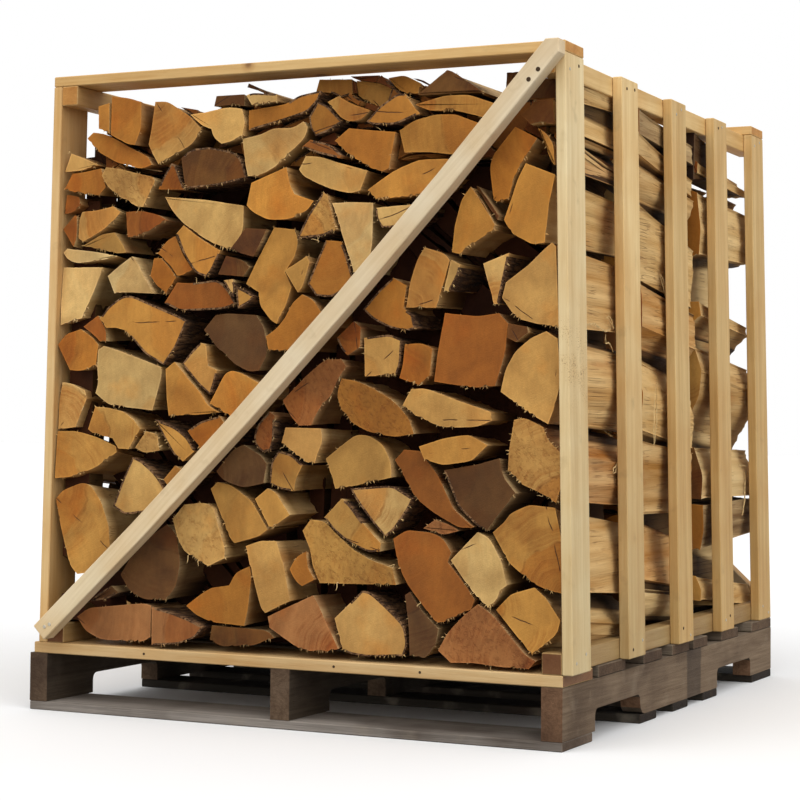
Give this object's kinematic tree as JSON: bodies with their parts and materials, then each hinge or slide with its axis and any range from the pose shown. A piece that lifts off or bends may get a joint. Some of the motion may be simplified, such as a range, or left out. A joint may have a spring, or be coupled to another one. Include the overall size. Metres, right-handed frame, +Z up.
{
  "type": "pallet of firewood",
  "caption": "Slatted open-fronted timber crate on a wooden fork pallet, filled with stacked rows of split firewood logs held in by a diagonal brace.",
  "frame": {"origin": "centre of the bounding box's underside, on the floor below the pallet", "axes": "+Z up; the pallet's stringers run along Y, with the open braced face shown in the picture at -Y; +X to the right as seen from that face"},
  "size_m": [1.0849, 1.2836, 1.185],
  "materials": {
    "weathered_softwood": "weathered grey-brown, rough sawn",
    "fresh_softwood": "fresh pale yellow, rough sawn",
    "split_firewood": "split and sawn, dry, with bark"
  },
  "bodies": {
    "root": {"stringer_left": "weathered_softwood", "stringer_middle": "weathered_softwood", "stringer_right": "weathered_softwood", "bottom_board_front": "weathered_softwood", "bottom_board_2": "weathered_softwood", "bottom_board_3": "weathered_softwood", "bottom_board_4": "weathered_softwood", "bottom_board_back": "weathered_softwood", "deck_board_2": "weathered_softwood", "deck_board_3": "weathered_softwood", "deck_board_4": "weathered_softwood", "deck_board_5": "weathered_softwood", "deck_board_6": "weathered_softwood", "deck_board_back": "weathered_softwood", "deck_board_front": "fresh_softwood", "post_left_1": "fresh_softwood", "post_left_2": "fresh_softwood", "post_left_3": "fresh_softwood", "post_left_4": "fresh_softwood", "post_left_5": "fresh_softwood", "post_right_1": "fresh_softwood", "post_right_2": "fresh_softwood", "post_right_3": "fresh_softwood", "post_right_4": "fresh_softwood", "post_right_5": "fresh_softwood", "bottom_rail_left": "fresh_softwood", "bottom_rail_right": "fresh_softwood", "top_rail_left": "fresh_softwood", "top_rail_right": "fresh_softwood", "top_board_front": "fresh_softwood", "top_board_back": "fresh_softwood", "brace_front": "fresh_softwood", "brace_back": "fresh_softwood", "firewood_front_row": "split_firewood", "firewood_middle_row": "split_firewood", "firewood_back_row": "split_firewood", "front_top_log_1": "split_firewood", "front_top_log_2": "split_firewood", "front_top_log_3": "split_firewood", "front_top_log_4": "split_firewood", "front_top_log_5": "split_firewood", "front_top_log_6": "split_firewood", "front_top_log_7": "split_firewood", "front_top_log_8": "split_firewood", "front_top_log_9": "split_firewood", "front_top_log_10": "split_firewood", "front_top_log_11": "split_firewood", "front_top_log_12": "split_firewood", "front_top_log_13": "split_firewood", "front_top_log_14": "split_firewood", "front_top_log_15": "split_firewood", "front_top_log_16": "split_firewood", "front_top_log_17": "split_firewood", "back_corner_log_1": "split_firewood", "back_corner_log_2": "split_firewood", "back_corner_log_3": "split_firewood", "back_corner_log_4": "split_firewood", "back_corner_log_5": "split_firewood", "back_corner_log_6": "split_firewood", "back_corner_log_7": "split_firewood"}
  },
  "joints": []
}
